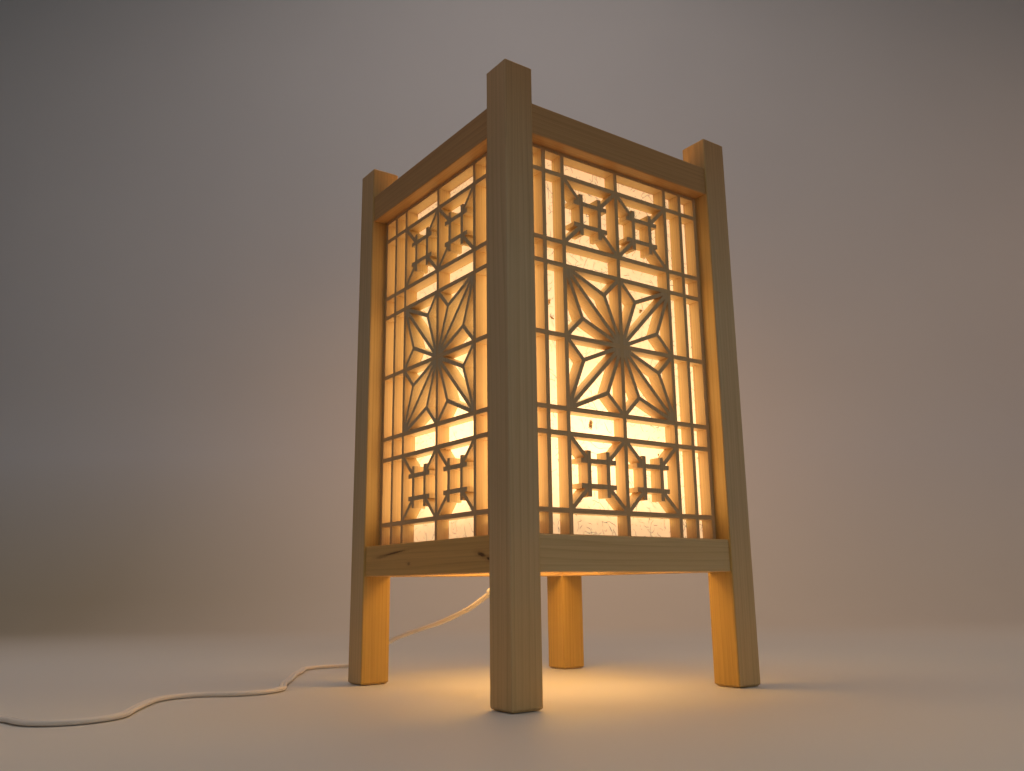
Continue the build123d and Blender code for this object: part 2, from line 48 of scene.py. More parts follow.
# ------------------------------------------------------------------
# Node helpers
# ------------------------------------------------------------------
class Mat:
    """A small builder for procedural node materials."""

    def __init__(self, name):
        self.mat = bpy.data.materials.new(name)
        self.mat.use_nodes = True
        self.nt = self.mat.node_tree
        self.nt.nodes.clear()
        self.out = self.add("ShaderNodeOutputMaterial")
        self.bsdf = self.add("ShaderNodeBsdfPrincipled")
        self.link(self.bsdf.outputs[0], self.out.inputs[0])

    def add(self, kind, **props):
        n = self.nt.nodes.new(kind)
        for k, v in props.items():
            setattr(n, k, v)
        return n

    def link(self, a, b):
        self.nt.links.new(a, b)

    def set(self, node, **vals):
        for k, v in vals.items():
            node.inputs[k.replace("_", " ")].default_value = v

    def coords(self, scale=(1, 1, 1), loc=(0, 0, 0), rot=(0, 0, 0)):
        tc = self.add("ShaderNodeTexCoord")
        mp = self.add("ShaderNodeMapping")
        mp.inputs["Location"].default_value = loc
        mp.inputs["Rotation"].default_value = rot
        mp.inputs["Scale"].default_value = scale
        self.link(tc.outputs["Object"], mp.inputs["Vector"])
        return mp.outputs["Vector"]

    def noise(self, vec, scale, detail=3.0, rough=0.55, distort=0.0):
        n = self.add("ShaderNodeTexNoise")
        self.link(vec, n.inputs["Vector"])
        n.inputs["Scale"].default_value = scale
        n.inputs["Detail"].default_value = detail
        n.inputs["Roughness"].default_value = rough
        n.inputs["Distortion"].default_value = distort
        return n.outputs["Fac"]

    def ramp(self, fac, stops, mode="LINEAR"):
        r = self.add("ShaderNodeValToRGB")
        r.color_ramp.interpolation = mode
        els = r.color_ramp.elements
        while len(els) < len(stops):
            els.new(0.5)
        for e, (p, c) in zip(els, stops):
            e.position = p
            e.color = c if len(c) == 4 else (*c, 1.0)
        self.link(fac, r.inputs["Fac"])
        return r.outputs["Color"]

    def math(self, op, a, b=None, clamp=False):
        m = self.add("ShaderNodeMath", operation=op, use_clamp=clamp)
        for i, v in enumerate((a, b)):
            if v is None:
                continue
            if hasattr(v, "links"):
                self.link(v, m.inputs[i])
            else:
                m.inputs[i].default_value = v
        return m.outputs[0]

    def mix(self, fac, a, b, mode="MIX"):
        m = self.add("ShaderNodeMix", data_type="RGBA", blend_type=mode)
        for sock, v in ((m.inputs[0], fac), (m.inputs[6], a), (m.inputs[7], b)):
            if hasattr(v, "links"):
                self.link(v, sock)
            elif isinstance(v, (int, float)):
                sock.default_value = v
            else:
                sock.default_value = v if len(v) == 4 else (*v, 1.0)
        return m.outputs[2]

    def bump(self, height, strength=0.3, distance=0.001, normal=None):
        b = self.add("ShaderNodeBump")
        b.inputs["Strength"].default_value = strength
        b.inputs["Distance"].default_value = distance
        self.link(height, b.inputs["Height"])
        if normal is not None:
            self.link(normal, b.inputs["Normal"])
        return b.outputs["Normal"]


def paint(name, mat):
    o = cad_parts[name]
    o.data.materials.clear() if not o.data.materials else None
    if not o.data.materials:
        o.data.materials.append(mat)
    for s in o.material_slots:
        s.material = mat


def new_object(name, data, body="lamp"):
    o = bpy.data.objects.new(name, data)
    scene.collection.objects.link(o)
    return o


# ------------------------------------------------------------------
# Camera: fitted to the posts, rails and lattice
# ------------------------------------------------------------------
YAW, PITCH, ROLL = math.radians(-35.574), math.radians(12.936), math.radians(-0.686)
fwd = Vector((-math.sin(YAW) * math.cos(PITCH), math.cos(YAW) * math.cos(PITCH), math.sin(PITCH)))
rgt = Vector((math.cos(YAW), math.sin(YAW), 0.0))
up = rgt.cross(fwd)
r2 = rgt * math.cos(ROLL) + up * math.sin(ROLL)
u2 = up * math.cos(ROLL) - rgt * math.sin(ROLL)
cam_data = bpy.data.cameras.new("camera")
cam = bpy.data.objects.new("camera", cam_data)
scene.collection.objects.link(cam)
cam_data.sensor_fit = "HORIZONTAL"
cam_data.sensor_width = 36.0
cam_data.lens = 876.0 / 1024.0 * 36.0
cam_data.clip_start = 0.01
cam_data.clip_end = 20.0
m = Matrix((r2, u2, -fwd)).transposed().to_4x4()
m.translation = Vector((-0.3810, -0.4965, 0.0650))
cam.matrix_world = m
scene.camera = cam


# ------------------------------------------------------------------
# Wood
# ------------------------------------------------------------------
def wood(name, axis, dark, light, seed=0.0, ring=0.0022, knots=(), height_tone_and_shade=(), outer_face_shade=(), outward=1, face=0.0872, inner=(), fine=1.0, spec=0.35):
    """Planed softwood with its grain along one axis.

    dark and light are the late and early wood colours, ring the usual
    distance between growth rings, knots a list of (place, turn, half sizes,
    depth of tone), in metres and radians. The three tone tables, in the
    order of the arguments, are (height in mm, colour): the first is the tone
    of the whole piece, partly the wood's own tone and partly painted light
    and shade; the second is painted shade on its outer faces; the third is
    painted warm lamplight on a post's faces towards the lamp's middle.
    outward is the number of the axis that the outer faces look along, and
    face how far from the lamp's middle they start."""
    M = Mat(name)
    stretch = {"X": (0.06, 1, 1), "Y": (1, 0.06, 1), "Z": (1, 1, 0.06)}[axis]
    long_ = {"X": (0.012, 1, 1), "Y": (1, 0.012, 1), "Z": (1, 1, 0.012)}[axis]
    v = M.coords(loc=(seed * 1.37, seed * 0.73, seed * 2.11))
    # slow drift bends the rings
    warp_v = M.coords(scale=stretch, loc=(seed, seed * 1.9, seed * 0.4))
    warp = M.noise(warp_v, 34.0, 2.0, 0.5)
    # growth rings: distance across the grain
    sep = M.add("ShaderNodeSeparateXYZ")
    M.link(v, sep.inputs[0])
    a, b = {"X": (1, 2), "Y": (0, 2), "Z": (0, 1)}[axis]
    across = M.math("ADD", M.math("MULTIPLY", sep.outputs[a], 0.82), M.math("MULTIPLY", sep.outputs[b], 0.57))
    across = M.math("ADD", across, M.math("MULTIPLY", warp, 0.012))
    phase = M.math("FRACT", M.math("DIVIDE", across, ring))
    rings = M.ramp(phase, [(0.0, (0.0,) * 3), (0.62, (0.35,) * 3), (0.9, (1.0,) * 3), (1.0, (0.0,) * 3)])
    # fibres and pores
    fib_v = M.coords(scale=long_, loc=(seed * 3.1, seed, seed * 0.7))
    fibre = M.noise(fib_v, 1500.0 * fine, 3.0, 0.6)
    band_v = M.coords(scale=long_, loc=(seed * 0.7, seed * 5.0, seed))
    band = M.noise(band_v, 260.0 * fine, 2.0, 0.5)
    cloud_v = M.coords(scale=stretch, loc=(seed * 2.3, 0, seed))
    cloud = M.noise(cloud_v, 22.0, 2.0, 0.5)
    fac = M.math("ADD", M.math("MULTIPLY", rings, 0.34), M.math("MULTIPLY", band, 0.62))
    fac = M.math("ADD", fac, M.math("MULTIPLY", cloud, 0.35))
    fac = M.math("SUBTRACT", fac, 0.30, clamp=True)
    col = M.mix(fac, light, dark)
    streak = M.ramp(fibre, [(0.30, (0.80, 0.76, 0.70)), (0.52, (1.0, 1.0, 1.0))])
    col = M.mix(0.55, col, streak, "MULTIPLY")
    bump_h = M.math("ADD", M.math("MULTIPLY", fibre, 0.6), M.math("MULTIPLY", rings, -0.25))
    for pos, turn, half, deep in knots:
        mp = M.add("ShaderNodeMapping", vector_type="TEXTURE")
        mp.inputs["Location"].default_value = pos
        mp.inputs["Rotation"].default_value = turn
        mp.inputs["Scale"].default_value = half
        tc = M.add("ShaderNodeTexCoord")
        M.link(tc.outputs["Object"], mp.inputs["Vector"])
        ln = M.add("ShaderNodeVectorMath", operation="LENGTH")
        M.link(mp.outputs[0], ln.inputs[0])
        ragged = M.noise(tc.outputs["Object"], 520.0, 2.0, 0.6)
        d = M.math("ADD", ln.outputs["Value"], M.math("MULTIPLY", M.math("SUBTRACT", ragged, 0.5), 0.9))
        halo = M.ramp(M.math("DIVIDE", d, 3.2), [(0.15, (0.45 * deep,) * 3), (1.0, (0.0,) * 3)])
        col = M.mix(halo, col, (dark[0] * 0.62, dark[1] * 0.48, dark[2] * 0.35))
        core = M.ramp(M.math("DIVIDE", d, 1.4), [(0.45, (deep,) * 3), (1.0, (0.0,) * 3)])
        col = M.mix(core, col, (0.100, 0.043, 0.014))
    if height_tone_and_shade or outer_face_shade or inner:
        tc = M.add("ShaderNodeTexCoord")
        where = M.add("ShaderNodeSeparateXYZ")
        M.link(tc.outputs["Object"], where.inputs[0])
        height = M.math("DIVIDE", where.outputs[2], 0.400)
        height = M.math("ADD", height, M.math("MULTIPLY", M.math("SUBTRACT", cloud, 0.5), 0.05))
    # tone by height for the whole piece: partly the wood's own tone, partly painted light and shade
    if height_tone_and_shade:
        col = M.mix(1.0, col, M.ramp(height, [(z / 400.0, c) for z, c in height_tone_and_shade]), "MULTIPLY")
    # painted warm lamplight on a post's faces towards the lamp's middle
    if inner:
        ins = [M.math("MULTIPLY", M.math("SUBTRACT", 0.0800, M.math("ABSOLUTE", where.outputs[i])), 2000.0, clamp=True) for i in (0, 1)]
        col = M.mix(M.math("MAXIMUM", *ins), col, M.mix(1.0, col, M.ramp(height, [(z / 400.0, c) for z, c in inner]), "MULTIPLY"))
    # painted shade on the outer faces, by height
    if outer_face_shade:
        out = M.math("ABSOLUTE", where.outputs[outward])
        out = M.math("MULTIPLY", M.math("SUBTRACT", out, face), 2000.0, clamp=True)
        col = M.mix(out, col, M.mix(1.0, col, M.ramp(height, [(z / 400.0, c) for z, c in outer_face_shade]), "MULTIPLY"))
    M.link(col, M.bsdf.inputs["Base Color"])
    rough = M.math("ADD", M.math("MULTIPLY", fibre, 0.18), 0.42)
    M.link(rough, M.bsdf.inputs["Roughness"])
    M.bsdf.inputs["Specular IOR Level"].default_value = spec
    M.link(M.bump(bump_h, 0.25, 0.00025), M.bsdf.inputs["Normal"])
    return M.mat


LIGHT = (0.81, 0.55, 0.28)
DARK = (0.575, 0.355, 0.155)
# the posts' tone by height, darker above the lower rails and redder at the top: partly the wood's own tone, partly
# painted light and shade
POST_TONE_AND_SHADE = [(0, (0.94, 0.95, 0.88)), (73, (0.90, 0.94, 0.98)), (115, (0.81, 0.88, 1.0)), (250, (0.80, 0.87, 1.0)),
             (335, (0.80, 0.78, 0.80)), (387, (0.86, 0.80, 0.80))]
# painted shade on the posts' outer faces, darker and redder towards the top
POST_FRONT = [(250, (1.0, 1.0, 1.0)), (335, (0.90, 0.87, 0.85)), (387, (0.80, 0.71, 0.62))]
# each rail's tone, side by side: partly the wood's own tone, partly painted light and shade, the top rails much
# darker as painted shade
LOWER_RAIL_TONE_AND_SHADE = {"front": (0.90, 0.98, 1.0), "right": (0.90, 0.93, 0.90), "rear": (0.92, 0.94, 0.90), "left": (0.90, 0.81, 0.55)}
TOP_RAIL_TONE_AND_SHADE = {"front": (0.66, 0.54, 0.44), "right": (0.69, 0.57, 0.47), "rear": (0.68, 0.56, 0.46), "left": (0.72, 0.59, 0.47)}
# painted warm lamplight on the posts' faces towards the lamp's middle, warmest low down; the rear posts also get
# painted shade near their tops
POST_INNER = [(0, (0.86, 0.81, 0.50)), (95, (0.83, 0.78, 0.48)), (130, (0.93, 0.93, 0.76)), (230, (0.89, 0.89, 0.78)),
              (300, (1.0, 0.97, 0.72)), (387, (1.0, 1.0, 0.80))]
REAR_INNER = POST_INNER[:4] + [(300, (0.97, 0.93, 0.68)), (335, (0.90, 0.86, 0.62)), (387, (0.81, 0.72, 0.48))]
seeds = {"post_front_left": 0.31, "post_front_right": 1.83, "post_rear_left": 2.57, "post_rear_right": 4.19}
for n, s in seeds.items():
    paint(n, wood("wood_" + n, "Z", DARK, LIGHT, seed=s, ring=0.0031 if s < 1 else 0.0024, height_tone_and_shade=POST_TONE_AND_SHADE,
                  outer_face_shade=POST_FRONT, face=0.0995, inner=REAR_INNER if "rear" in n else POST_INNER))
KNOTS = {
    "left_lower_rail": [
        ((-0.0985, 0.0370, 0.0880), (-0.085, 0, 0), (0.0060, 0.0120, 0.00055), 0.85),
        ((-0.0985, 0.0535, 0.0862), (-0.085, 0, 0), (0.0060, 0.0080, 0.0010), 0.28),
        ((-0.0985, 0.0167, 0.0803), (0, 0, 0), (0.0040, 0.0015, 0.0009), 0.45),
        ((-0.0985, -0.0694, 0.0833), (0.20, 0, 0), (0.0050, 0.0034, 0.0010), 0.9),
        ((-0.0985, -0.0775, 0.0806), (0.20, 0, 0), (0.0050, 0.0026, 0.0007), 0.9),
    ],
    "rear_top_rail": [((0.0300, 0.0985, 0.3540), (0, 0, 0), (0.0030, 0.0050, 0.0018), 0.7)],
}
for k, side in enumerate(("front", "right", "rear", "left")):
    ax = "X" if side in ("front", "rear") else "Y"
    for j, (lev, tone) in enumerate((("lower", LOWER_RAIL_TONE_AND_SHADE), ("top", TOP_RAIL_TONE_AND_SHADE))):
        n = "%s_%s_rail" % (side, lev)
        paint(n, wood("wood_" + n, ax, DARK, LIGHT, seed=5.3 + 1.71 * k + 0.77 * j, knots=KNOTS.get(n, ()),
                      height_tone_and_shade=[(0, tone[side]), (400, tone[side])]))
paint("socket_crossbar", wood("wood_crossbar", "X", DARK, LIGHT, seed=9.4, height_tone_and_shade=[(0, (0.9, 0.88, 0.8)), (400, (0.9, 0.88, 0.8))]))

K_LIGHT = (0.67, 0.460, 0.255)
K_DARK = (0.49, 0.315, 0.155)
# painted shade on the strips' outer faces, a little darker and warmer towards the top
STRIP_OUTER_SHADE = [(90, (1.0, 1.0, 1.0)), (150, (0.93, 0.97, 1.0)), (250, (0.93, 0.97, 1.0)), (300, (0.97, 0.97, 0.97)), (340, (1.0, 0.94, 0.88))]
GRID_OUTER_SHADE = [(90, (1.0, 1.0, 0.97)), (150, (1.0, 1.0, 0.96)), (250, (1.0, 1.0, 0.95)), (340, (1.0, 0.96, 0.88))]
# the left side's strips are painted paler and bluer: painted cool light from the upper left
LEFT_PAINTED_LIGHT = {"grid": (1.03, 1.04, 1.08), "igeta": (1.03, 1.08, 1.12), "asanoha": (1.03, 1.12, 1.24)}
for k, side in enumerate(("front", "right", "rear", "left")):
    ax = "X" if side in ("front", "rear") else "Y"
    sd = 11.0 + 2.3 * k
    tones = {g: tuple(tuple(c * (f if side == "left" else 1.0) for c, f in zip(col, fs)) for col in (K_DARK, K_LIGHT))
             for g, fs in LEFT_PAINTED_LIGHT.items()}
    strip = dict(outer_face_shade=STRIP_OUTER_SHADE, outward=1 if ax == "X" else 0)
    grid = dict(outer_face_shade=GRID_OUTER_SHADE, outward=1 if ax == "X" else 0)
    paint(side + "_panel_frame", wood("strip_frame_" + side, "Z", *tones["grid"], seed=sd, ring=0.0014, fine=1.3, **grid))
    paint(side + "_panel_uprights", wood("strip_up_" + side, "Z", *tones["grid"], seed=sd + 0.4, ring=0.0013, fine=1.3, **grid))
    paint(side + "_panel_crosspieces", wood("strip_cross_" + side, ax, *tones["grid"], seed=sd + 0.8, ring=0.0013, fine=1.3, **grid))
    paint(side + "_panel_igeta", wood("strip_igeta_" + side, "Z", *tones["igeta"], seed=sd + 1.2, ring=0.0017, fine=1.0, **strip))
    paint(side + "_panel_asanoha", wood("strip_asanoha_" + side, "Z", *tones["asanoha"], seed=sd + 1.6, ring=0.0017, fine=1.0, **strip))


# ------------------------------------------------------------------
# Washi: one sheet on the back of each lattice, its glow painted as emission, brightest near the bulb
# ------------------------------------------------------------------
BULB = Vector((0.0, 0.0, 0.148))


def profile(M, fac, table, top):
    """A smooth curve of fac through (position, value) pairs, as a ramp times its top value."""
    col = M.ramp(fac, [(p, (v / top,) * 3) for p, v in table], mode="B_SPLINE")
    return M.math("MULTIPLY", col, top)


def z_pos(z_mm):
    return (z_mm - 92.0) / 251.0


def washi_material(name, lateral, seed, spot, flecks=()):
    """Kozo paper whose glow is painted as emission, standing in for the bulb's
    light through it. lateral is the sheet's own horizontal axis, spot the
    middle of its painted bright patch in metres, flecks a list of
    (lateral, z, half length, half width, angle) of dark bark pieces."""
    M = Mat(name)
    tc = M.add("ShaderNodeTexCoord")
    sep = M.add("ShaderNodeSeparateXYZ")
    M.link(tc.outputs["Object"], sep.inputs[0])
    lat = sep.outputs[0 if lateral == "X" else 1]
    z = sep.outputs[2]
    comb = M.add("ShaderNodeCombineXYZ")
    M.link(lat, comb.inputs[0])
    M.link(z, comb.inputs[1])
    comb.inputs[2].default_value = seed
    v = comb.outputs[0]
    cloud = M.noise(v, 55.0, 4.0, 0.65)
    mott = M.noise(v, 650.0, 2.0, 0.6)
    # painted light through the sheet: a broad wash with height, and the bright patch near the bulb
    zf = M.math("DIVIDE", M.math("SUBTRACT", z, 0.092), 0.251)
    zf = M.math("ADD", zf, M.math("MULTIPLY", M.math("SUBTRACT", cloud, 0.5), 0.02))
    broad = profile(M, zf, [(z_pos(95), 0.83), (z_pos(101), 0.85), (z_pos(108), 1.12), (z_pos(118), 1.42), (z_pos(140), 1.62),
                            (z_pos(175), 1.58), (z_pos(207), 1.42), (z_pos(250), 1.22), (z_pos(290), 1.08), (z_pos(342), 0.80)], 3.0)
    hot = profile(M, zf, [(z_pos(100), 0.0), (z_pos(110), 0.25), (z_pos(122), 0.75), (z_pos(138), 1.15), (z_pos(152), 1.25),
                          (z_pos(168), 1.05), (z_pos(190), 0.55), (z_pos(215), 0.22), (z_pos(250), 0.03)], 3.0)
    d = M.math("DIVIDE", M.math("SUBTRACT", lat, spot), 0.040)
    side = M.math("DIVIDE", 1.0, M.math("ADD", M.math("MULTIPLY", d, d), 1.0))
    level = M.math("ADD", broad, M.math("MULTIPLY", hot, side))

    # long fibres: one curved hair in each cell of a random net, several nets
    wave = M.noise(v, 210.0, 1.0, 0.5)

    def hairs(scale, half, wide, curl, keep, shift):
        mp = M.add("ShaderNodeMapping")
        mp.inputs["Location"].default_value = (seed * 0.037 + shift, seed * 0.011 - shift, 0)
        M.link(v, mp.inputs["Vector"])
        net = M.add("ShaderNodeTexVoronoi", feature="F1", voronoi_dimensions="2D")
        net.inputs["Scale"].default_value = scale
        M.link(mp.outputs[0], net.inputs["Vector"])
        off = M.add("ShaderNodeVectorMath", operation="SUBTRACT")
        M.link(mp.outputs[0], off.inputs[0])
        M.link(net.outputs["Position"], off.inputs[1])
        xy = M.add("ShaderNodeSeparateXYZ")
        M.link(off.outputs[0], xy.inputs[0])
        rgb = M.add("ShaderNodeSeparateColor")
        M.link(net.outputs["Color"], rgb.inputs[0])
        turn = M.math("MULTIPLY", rgb.outputs[0], 6.2832)
        c, s_ = M.math("COSINE", turn), M.math("SINE", turn)
        along = M.math("ADD", M.math("MULTIPLY", xy.outputs[0], c), M.math("MULTIPLY", xy.outputs[1], s_))
        across = M.math("SUBTRACT", M.math("MULTIPLY", xy.outputs[1], c), M.math("MULTIPLY", xy.outputs[0], s_))
        bow = M.math("MULTIPLY", M.math("MULTIPLY", along, along), M.math("MULTIPLY", M.math("SUBTRACT", rgb.outputs[1], 0.5), curl))
        across = M.math("ADD", across, bow)
        across = M.math("ADD", across, M.math("MULTIPLY", M.math("SUBTRACT", wave, 0.5), 0.0032))
        line = M.math("SUBTRACT", 1.7, M.math("DIVIDE", M.math("ABSOLUTE", across), wide), clamp=True)
        ends = M.math("DIVIDE", M.math("SUBTRACT", half, M.math("ABSOLUTE", along)), 0.0012, clamp=True)
        return M.math("MULTIPLY", M.math("MULTIPLY", line, ends), M.math("GREATER_THAN", rgb.outputs[2], keep))

    fib = None
    for args in ((82.0, 0.0052, 0.00015, 160.0, 0.35, 0.013), (118.0, 0.0036, 0.00013, 320.0, 0.45, 0.031),
                 (64.0, 0.0068, 0.00016, 110.0, 0.50, 0.057), (170.0, 0.0022, 0.00014, 500.0, 0.50, 0.071),
                 (240.0, 0.0013, 0.00013, 900.0, 0.60, 0.093)):
        one = hairs(*args)
        fib = one if fib is None else M.math("MAXIMUM", fib, one)

    # small bark specks, picked at random
    vb = M.add("ShaderNodeTexVoronoi", feature="F1", voronoi_dimensions="3D")
    vb.inputs["Scale"].default_value = 135.0
    mpb = M.add("ShaderNodeMapping")
    mpb.inputs["Scale"].default_value = (1.0, 0.5, 1.0)
    mpb.inputs["Rotation"].default_value = (0, 0, 0.7 + seed)
    M.link(v, mpb.inputs["Vector"])
    M.link(mpb.outputs[0], vb.inputs["Vector"])
    speck = M.ramp(vb.outputs["Distance"], [(0.030, (1.0,) * 3), (0.055, (0.0,) * 3)])
    sepc = M.add("ShaderNodeSeparateColor")
    M.link(vb.outputs["Color"], sepc.inputs[0])
    speck = M.math("MULTIPLY", speck, M.math("GREATER_THAN", sepc.outputs[0], 0.52))

    # larger bark pieces at their own places, ragged at the edge
    rag = M.noise(v, 900.0, 2.0, 0.6)
    bark = None
    for fl, fz, ha, hb, an in flecks:
        mp = M.add("ShaderNodeMapping", vector_type="TEXTURE")
        mp.inputs["Location"].default_value = (fl, fz, seed)
        mp.inputs["Rotation"].default_value = (0, 0, an)
        mp.inputs["Scale"].default_value = (ha, hb, 1.0)
        M.link(v, mp.inputs["Vector"])
        ln = M.add("ShaderNodeVectorMath", operation="LENGTH")
        M.link(mp.outputs[0], ln.inputs[0])
        dd = M.math("ADD", ln.outputs["Value"], M.math("MULTIPLY", M.math("SUBTRACT", rag, 0.5), 1.6))
        one = M.ramp(dd, [(0.55, (1.0,) * 3), (1.0, (0.0,) * 3)])
        bark = one if bark is None else M.math("MAXIMUM", bark, one)

    grain = M.math("ADD", M.math("MULTIPLY", M.math("SUBTRACT", cloud, 0.5), 0.34), 1.0)
    grain = M.math("ADD", grain, M.math("MULTIPLY", M.math("SUBTRACT", mott, 0.5), 0.20))
    level = M.math("MULTIPLY", level, grain)
    tint = M.mix(1.0, (1.0, 0.590, 0.272), level, "MULTIPLY")
    tint = M.mix(fib, tint, M.mix(1.0, tint, (0.10, 0.31, 0.44), "MULTIPLY"))
    tint = M.mix(speck, tint, M.mix(1.0, tint, (0.25, 0.19, 0.12), "MULTIPLY"))
    base = M.mix(fib, (0.55, 0.50, 0.42), (0.36, 0.28, 0.20))
    base = M.mix(speck, base, (0.20, 0.11, 0.05))
    if bark is not None:
        tint = M.mix(bark, tint, M.ramp(rag, [(0.42, (0.13, 0.075, 0.025)), (0.56, (0.58, 0.21, 0.03))]))
        base = M.mix(bark, base, (0.22, 0.11, 0.03))
    # the painted glow: emission standing in for the bulb's light through the sheet, with fibres, specks and bark dark
    # in it
    M.link(tint, M.bsdf.inputs["Emission Color"])
    M.bsdf.inputs["Emission Strength"].default_value = 1.0
    M.link(base, M.bsdf.inputs["Base Color"])
    M.bsdf.inputs["Roughness"].default_value = 0.85
    M.bsdf.inputs["Specular IOR Level"].default_value = 0.15
    h = M.math("ADD", M.math("MULTIPLY", fib, 0.7), M.math("MULTIPLY", mott, 0.5))
    M.link(M.bump(h, 0.35, 0.0003), M.bsdf.inputs["Normal"])
    return M.mat


def washi_sheet(side, ang, seed):
    """A thin closed sheet with slack of a few tenths of a millimetre."""
    node = side + "_washi"
    lo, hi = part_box(node)
    W, Z0, Z1, T = 0.154, 0.0925, 0.3425, 0.0003
    nx, nz = 78, 126
    rnd = random.Random(seed)
    waves = [(rnd.uniform(8, 30), rnd.uniform(8, 26), rnd.uniform(0, 6.28), rnd.uniform(0.3, 1.0)) for _ in range(6)]
    bm = bmesh.new()
    grid = [[None] * (nx + 1) for _ in range(nz + 1)]
    rot = Matrix.Rotation(ang, 4, "Z")
    for j in range(nz + 1):
        for i in range(nx + 1):
            u = i / nx
            w = j / nz
            x = -W / 2 + W * u
            z = Z0 + (Z1 - Z0) * w
            # slack only inside, none at the glued edges
            edge = min(1.0, 6 * min(u, 1 - u)) * min(1.0, 6 * min(w, 1 - w))
            s = sum(a * math.sin(fx * x * 3.1 + fz * z * 3.1 + p) for fx, fz, p, a in waves) / 6
            y = -0.079 + T / 2 + edge * 0.00022 * max(0.0, s)
            grid[j][i] = bm.verts.new(rot @ Vector((x, y, z)))
    for j in range(nz):
        for i in range(nx):
            bm.faces.new((grid[j][i], grid[j][i + 1], grid[j + 1][i + 1], grid[j + 1][i]))
    bm.normal_update()
    me = bpy.data.meshes.new("washi_sheet_" + side)
    bm.to_mesh(me)
    bm.free()
    o = new_object("washi_sheet_" + side, me)
    for p in me.polygons:
        p.use_smooth = True
    sol = o.modifiers.new("thickness", "SOLIDIFY")
    sol.thickness = 0.00028
    sol.offset = 0.0
    me.materials.append(washi_material("washi_" + side, "X" if side in ("front", "rear") else "Y", seed,
                                       SPOT[side], FLECKS.get(side, ())))
    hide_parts(node)
    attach(o, "lamp")
    return o


SPOT = {"front": -0.016, "right": 0.004, "rear": 0.005, "left": -0.014}
FLECKS = {
    "front": [(-0.0526, 0.2412, 0.0026, 0.0013, 1.35), (-0.0506, 0.2310, 0.0022, 0.0009, -0.35),
              (0.0273, 0.2490, 0.0026, 0.0014, 0.7), (-0.0212, 0.1650, 0.0040, 0.0020, 1.45),
              (0.0377, 0.1500, 0.0013, 0.0008, 1.2), (0.0040, 0.1800, 0.0009, 0.0006, 0.4)],
    "left": [(0.0215, 0.1712, 0.0018, 0.0009, 0.9), (-0.0330, 0.2620, 0.0020, 0.0008, 0.2)],
    "rear": [(0.0310, 0.2330, 0.0024, 0.0010, 1.1), (-0.0440, 0.1420, 0.0018, 0.0009, 0.3)],
    "right": [(-0.0290, 0.2060, 0.0022, 0.0010, 0.6), (0.0480, 0.2870, 0.0016, 0.0008, 1.4)],
}
for k, side in enumerate(("front", "right", "rear", "left")):
    washi_sheet(side, math.radians(90.0 * k), 3.1 + 1.7 * k)


# ------------------------------------------------------------------
# Plain plastics and metals
# ------------------------------------------------------------------
def plastic(name, color, rough=0.4, spots=0.04, bump=0.12, scale=900.0):
    M = Mat(name)
    v = M.coords()
    n = M.noise(v, scale, 3.0, 0.6)
    big = M.noise(v, 45.0, 2.0, 0.5)
    dark = tuple(c * (1 - spots * 2.2) for c in color)
    col = M.mix(M.math("ADD", M.math("MULTIPLY", n, 0.35), M.math("MULTIPLY", big, 0.65), clamp=True), color, dark)
    M.link(col, M.bsdf.inputs["Base Color"])
    M.link(M.math("ADD", M.math("MULTIPLY", big, 0.14), rough - 0.07), M.bsdf.inputs["Roughness"])
    M.link(M.bump(n, bump, 0.00012), M.bsdf.inputs["Normal"])
    return M.mat


def metal(name, color, rough=0.3, axis=(1, 1, 1)):
    M = Mat(name)
    v = M.coords(scale=axis)
    n = M.noise(v, 1400.0, 3.0, 0.6)
    big = M.noise(M.coords(), 120.0, 2.0, 0.5)
    col = M.mix(big, color, tuple(c * 0.72 for c in color))
    M.link(col, M.bsdf.inputs["Base Color"])
    M.bsdf.inputs["Metallic"].default_value = 1.0
    M.link(M.math("ADD", M.math("MULTIPLY", n, 0.18), rough - 0.05), M.bsdf.inputs["Roughness"])
    M.link(M.bump(n, 0.15, 0.0001), M.bsdf.inputs["Normal"])
    return M.mat


holder = plastic("holder_plastic", (0.80, 0.79, 0.74), 0.32)
paint("lampholder_body", holder)
paint("lampholder_screw_shell", metal("brass_shell", (0.80, 0.60, 0.28), 0.3))
paint("lampholder_contact", metal("brass_contact", (0.80, 0.60, 0.28), 0.35))
paint("lampholder_terminals", metal("brass_tags", (0.78, 0.60, 0.32), 0.38))
paint("lampholder_screws", metal("screw_steel", (0.60, 0.58, 0.54), 0.34))
paint("bulb_cap", metal("cap_metal", (0.74, 0.73, 0.71), 0.28, (1, 1, 6)))
paint("bulb_insulator", plastic("black_glass", (0.03, 0.03, 0.035), 0.16))
paint("bulb_filament", metal("filament_wire", (0.86, 0.66, 0.38), 0.4))
sw_mat = plastic("switch_plastic", (0.83, 0.81, 0.75), 0.36)
paint("switch_base", sw_mat)
paint("switch_cover", sw_mat)
paint("switch_rocker", plastic("rocker_plastic", (0.74, 0.72, 0.66), 0.24, bump=0.06))
paint("plug_body", plastic("plug_plastic", (0.82, 0.80, 0.75), 0.38))
paint("plug_blades", metal("blade_metal", (0.72, 0.69, 0.62), 0.22, (6, 1, 1)))
paint("cord_boot", plastic("boot_vinyl", (0.80, 0.78, 0.73), 0.48))


def glass_lit(name, color, strength):
    M = Mat(name)
    v = M.coords()
    n = M.noise(v, 700.0, 3.0, 0.6)
    big = M.noise(v, 30.0, 2.0, 0.5)
    M.link(M.mix(big, color, tuple(c * 0.93 for c in color)), M.bsdf.inputs["Emission Color"])
    M.bsdf.inputs["Emission Strength"].default_value = strength
    M.link(M.mix(n, (0.92, 0.90, 0.86), (0.84, 0.82, 0.78)), M.bsdf.inputs["Base Color"])
    M.bsdf.inputs["Roughness"].default_value = 0.35
    M.link(M.bump(n, 0.1, 0.0001), M.bsdf.inputs["Normal"])
    return M.mat


